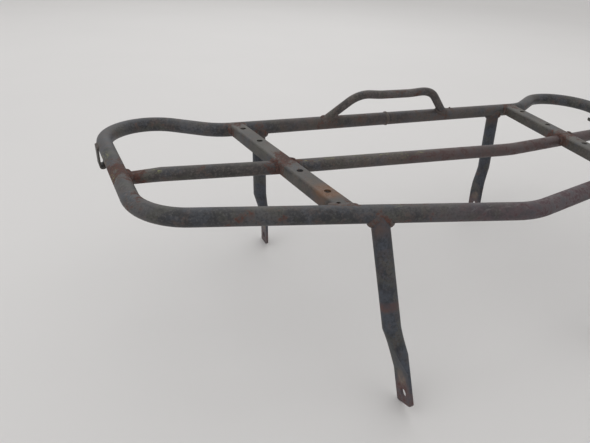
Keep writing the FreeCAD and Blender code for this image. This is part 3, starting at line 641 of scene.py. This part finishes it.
for name in nodes:
    if name == "outer_loop":
        paint_node(name, loop_material)
    elif name == "centre_rail":
        paint_node(name, centre_material)
    elif name == "grab_handle":
        paint_node(name, handle_material)
    elif name.endswith("channel"):
        paint_node(name, channel_material)
    elif name.endswith("strap_hook"):
        paint_node(name, hook_material)
    elif "weld" not in name:
        paint_node(name, leg_material)


# ---- weld pieces ------------------------------------------------------------------------------------

def fuller_sides(outward):
    """A leg's bead is fuller at its left and right than at its front and back."""
    return 0.62 + 0.45 * outward.x ** 2


def leg_weld(end, side, sign):
    top, down, host = leg_line(end, sign)
    leg = Tube(top, down, TUBE_R)
    builder = bmesh.new()
    around = stations_round(host, top, down, Vector((1, 0, 0)), TUBE_R)
    weld_mesh(builder, around, host.snap, leg.snap, LEG_BEAD, True, seed=sign * 3.1,
              swell=fuller_sides)
    finish_piece("bead_leg_%s_%s" % (end, side), builder, "leg_weld_%s_%s" % (end, side),
                 weld_material)


def channel_outline(across):
    up = Vector((0, 0, 1))
    half = CHANNEL_HALF
    return rounded_outline(across, up, [(-half, CHANNEL_FOOT, 0), (-half, CHANNEL_TOP, FOLD_R),
                                        (half, CHANNEL_TOP, FOLD_R), (half, CHANNEL_FOOT, 0)], False)


def channel_weld(end, side, sign):
    start, along, across = channel_line(sign)
    host = handle_rail if end == "handle_side" else open_rail(sign)
    outward = along if end == "handle_side" else -along
    base = start if end == "handle_side" else start + along * CHANNEL_NEAR_END
    outline = channel_outline(across)

    def own(spot, depth):
        """Onto the nearest face of the channel."""
        local = spot - start
        x, z = local.dot(across), local.z
        if z > CHANNEL_TOP - FOLD_R and abs(x) < CHANNEL_HALF - FOLD_R:
            return spot + Vector((0, 0, CHANNEL_TOP - depth - z))
        if z < CHANNEL_TOP - FOLD_R:
            goal = math.copysign(CHANNEL_HALF - depth, x)
            return spot + across * (goal - x)
        middle = Vector((math.copysign(CHANNEL_HALF - FOLD_R, x), CHANNEL_TOP - FOLD_R))
        away = (Vector((x, z)) - middle).normalized() * (FOLD_R - depth) + middle
        return spot + across * (away.x - x) + Vector((0, 0, away.y - z))

    builder = bmesh.new()
    around = stations_outline(host, base, outward, outline)
    weld_mesh(builder, around, host.snap, own, CHANNEL_BEAD, False, seed=sign * 5.3 + len(end))
    finish_piece("bead_channel_%s_%s" % (end, side), builder, "channel_weld_%s_%s" % (end, side),
                 weld_material)


CROSSING_SPARE = 0.5 * MM    # the bead stops this far above the channel wall's lower edge


def crossing_weld(side, sign):
    """Where the centre rail goes through a channel's walls: a bead on the outside of each wall."""
    crossing, direction = channel_crossing(sign)
    start, side_way, across = channel_line(sign)
    rail = Tube(crossing, direction, RAIL_R)
    builder = bmesh.new()
    low = math.degrees(math.asin((CHANNEL_FOOT - CENTRE_START.z + CROSSING_SPARE) / RAIL_R))
    for way in (-1, 1):
        wall = Plane(start + across * way * CHANNEL_HALF, across * way)
        leaving = direction * way
        turns_up = leaving.cross(side_way).z > 0
        first, last = (low, 180 - low) if turns_up else (180 + low, 360 - low)
        around = stations_round(wall, crossing, leaving, side_way, RAIL_R, first, last)
        weld_mesh(builder, around, wall.snap, rail.snap, CROSSING_BEAD, False, seed=way * 2.7 + sign)
    finish_piece("bead_crossing_%s" % side, builder, "crossing_weld_%s" % side, weld_material)


CRIMP_ROUNDING = 0.95    # corner radius of the crimped end, as a share of half its height


def rail_end_weld(side, sign):
    point, direction = rail_end(sign)
    host = end_rail(sign)
    across = direction.cross(Vector((0, 0, 1)))
    up = Vector((0, 0, 1))
    w, h = CRIMP_HALF_WIDTH, CRIMP_HALF_HEIGHT
    drop = -CRIMP_DROP
    fold = h * CRIMP_ROUNDING
    corners = [(-w, drop - h, fold), (-w, drop + h, fold), (w, drop + h, fold), (w, drop - h, fold)]
    outline = rounded_outline(across, up, corners, True)

    def own(spot, depth):
        local = spot - point
        x, z = local.dot(across), local.z - drop
        centre = Vector((max(-(w - h), min(w - h, x)), 0))
        away = Vector((x, z)) - centre
        away = centre + away.normalized() * (h - depth)
        return spot + across * (away.x - x) + up * (away.y - z)

    builder = bmesh.new()
    around = stations_outline(host, point, direction, outline)
    weld_mesh(builder, around, host.snap, own, RAIL_END_BEAD, True, seed=sign * 7.7)
    finish_piece("bead_rail_end_%s" % side, builder, "rail_end_weld_%s" % side, weld_material)


NUB_FROM_FOOT, NUB_R = Vector((11, 0, 12)) * MM, 1.8 * MM    # a ball of spatter by the right foot


def handle_weld(side, sign):
    foot, direction = handle_foot(sign)
    rod = Tube(foot, direction, ROD_R)
    builder = bmesh.new()
    around = stations_round(handle_rail, foot, direction, Vector((1, 0, 0)), ROD_R)
    weld_mesh(builder, around, handle_rail.snap, rod.snap, HANDLE_BEAD, True, seed=sign * 9.1)
    if sign > 0:
        nub = handle_rail.snap(foot + NUB_FROM_FOOT, 0)
        spatter(builder, nub, handle_rail.normal(nub), NUB_R)
    finish_piece("bead_handle_%s" % side, builder, "handle_weld_%s" % side, weld_material)


HOOK_STATIONS, HOOK_WELD_SHARE = 40, 0.96
BUTT_STATIONS, BUTT_SPREAD = 150, Vector((0.2, 0, 0))


def hook_weld(side, sign):
    """A bead along the top edge of the strip, where it leans on the rail."""
    rail = end_rail(sign)
    base = LOOP + Vector((0, -HOOK_Y, 0))
    middle = rail.point + rail.direction * ((base.y - rail.point.y) / rail.direction.y)
    out = Vector((sign, 0, 0))
    out = (out - rail.direction * out.dot(rail.direction)).normalized()
    top = Plane(middle + Vector((0, 0, HOOK_TOP)), (0, 0, 1))
    found = []
    for i in range(HOOK_STATIONS + 1):
        along = rail.direction * (i / HOOK_STATIONS * 2 - 1) * HOOK_HALF_WIDTH * HOOK_WELD_SHARE
        spot = middle + along + out * (TUBE_R + HOOK_STRIP * 0.1) + Vector((0, 0, HOOK_TOP))
        spot = rail.snap(spot, 0)
        spot = spot + Vector((0, 0, HOOK_TOP - (spot.z - middle.z)))
        found.append(Station(spot, rail.normal(spot), Vector((0, 0, 1))))
    builder = bmesh.new()
    weld_mesh(builder, found, rail.snap, top.snap, HOOK_BEAD, False, seed=sign * 1.3,
              own_reach=HOOK_TOP_REACH)
    finish_piece("bead_hook_%s" % side, builder, "hook_weld_%s" % side, weld_material)


def butt_weld():
    """The ring round the loop's joint: its toes spread to both sides along the rail."""
    builder = bmesh.new()
    around = []
    for i in range(BUTT_STATIONS):
        angle = 2 * math.pi * i / BUTT_STATIONS
        outward = Vector((0, math.cos(angle), math.sin(angle)))
        around.append(Station(LOOP + outward * TUBE_R, (outward + BUTT_SPREAD).normalized(),
                              (outward - BUTT_SPREAD).normalized()))
    weld_mesh(builder, around, handle_rail.snap, handle_rail.snap, BUTT_BEAD, True, seed=4.4)
    finish_piece("bead_butt_joint", builder, "loop_butt_weld", weld_material)


for side, sign in SIDES:
    for end in ("handle_side", "open_side"):
        leg_weld(end, side, sign)
        channel_weld(end, side, sign)
    crossing_weld(side, sign)
    rail_end_weld(side, sign)
    handle_weld(side, sign)
    hook_weld(side, sign)
butt_weld()


# ---- floor, light and camera ------------------------------------------------------------------------

def floor():
    builder = bmesh.new()
    bmesh.ops.create_grid(builder, x_segments=1, y_segments=1, size=15)
    mesh = bpy.data.meshes.new("floor")
    builder.to_mesh(mesh)
    builder.free()
    ground = bpy.data.objects.new("floor", mesh)
    bpy.context.scene.collection.objects.link(ground)
    g = Graph("pale_floor")
    tone = g.mix(g.noise(1.2, 3), (0.66, 0.655, 0.65), (0.70, 0.695, 0.69))
    mesh.materials.append(g.finish(tone, 0.6, g.noise(60, 3), 0.05))


def area_light(name, place, target, size, power, color=(1, 1, 1)):
    data = bpy.data.lights.new(name, "AREA")
    data.shape = "DISK"
    data.size = size
    data.energy = power
    data.color = color
    lamp = bpy.data.objects.new(name, data)
    lamp.location = place
    lamp.rotation_euler = (Vector(target) - Vector(place)).to_track_quat("-Z", "Y").to_euler()
    bpy.context.scene.collection.objects.link(lamp)


def lighting():
    area_light("overhead", (0.5, 2.2, 2.7), (0.2, 1.0, 0), 4.2, 30)
    area_light("window", (-2.4, -0.2, 1.9), (0, 0.2, 0.1), 2.4, 9, (0.98, 0.98, 1.0))
    world = bpy.data.worlds.new("studio")
    world.use_nodes = True
    world.node_tree.nodes["Background"].inputs["Color"].default_value = (0.99, 0.975, 0.965, 1)
    world.node_tree.nodes["Background"].inputs["Strength"].default_value = 0.72
    bpy.context.scene.world = world


CAMERA_PLACE = LOOP + Vector((-457.0, -737.0, 260.7)) * MM
CAMERA_AZIMUTH, CAMERA_DOWN, CAMERA_ROLL = 21.63, 29.66, 3.06
CAMERA_LENS, SENSOR = 29.25, 36.0


def camera():
    data = bpy.data.cameras.new("camera")
    data.sensor_fit = "HORIZONTAL"
    data.sensor_width = SENSOR
    data.lens = CAMERA_LENS
    data.clip_start = 0.01
    eye = bpy.data.objects.new("camera", data)
    spin = turned("Z", -CAMERA_AZIMUTH) @ turned("X", 90 - CAMERA_DOWN) @ turned("Z", CAMERA_ROLL)
    eye.matrix_world = Matrix.Translation(CAMERA_PLACE) @ spin.to_4x4()
    bpy.context.scene.collection.objects.link(eye)
    bpy.context.scene.camera = eye


floor()
lighting()
camera()
bpy.context.scene.view_settings.view_transform = "Standard"
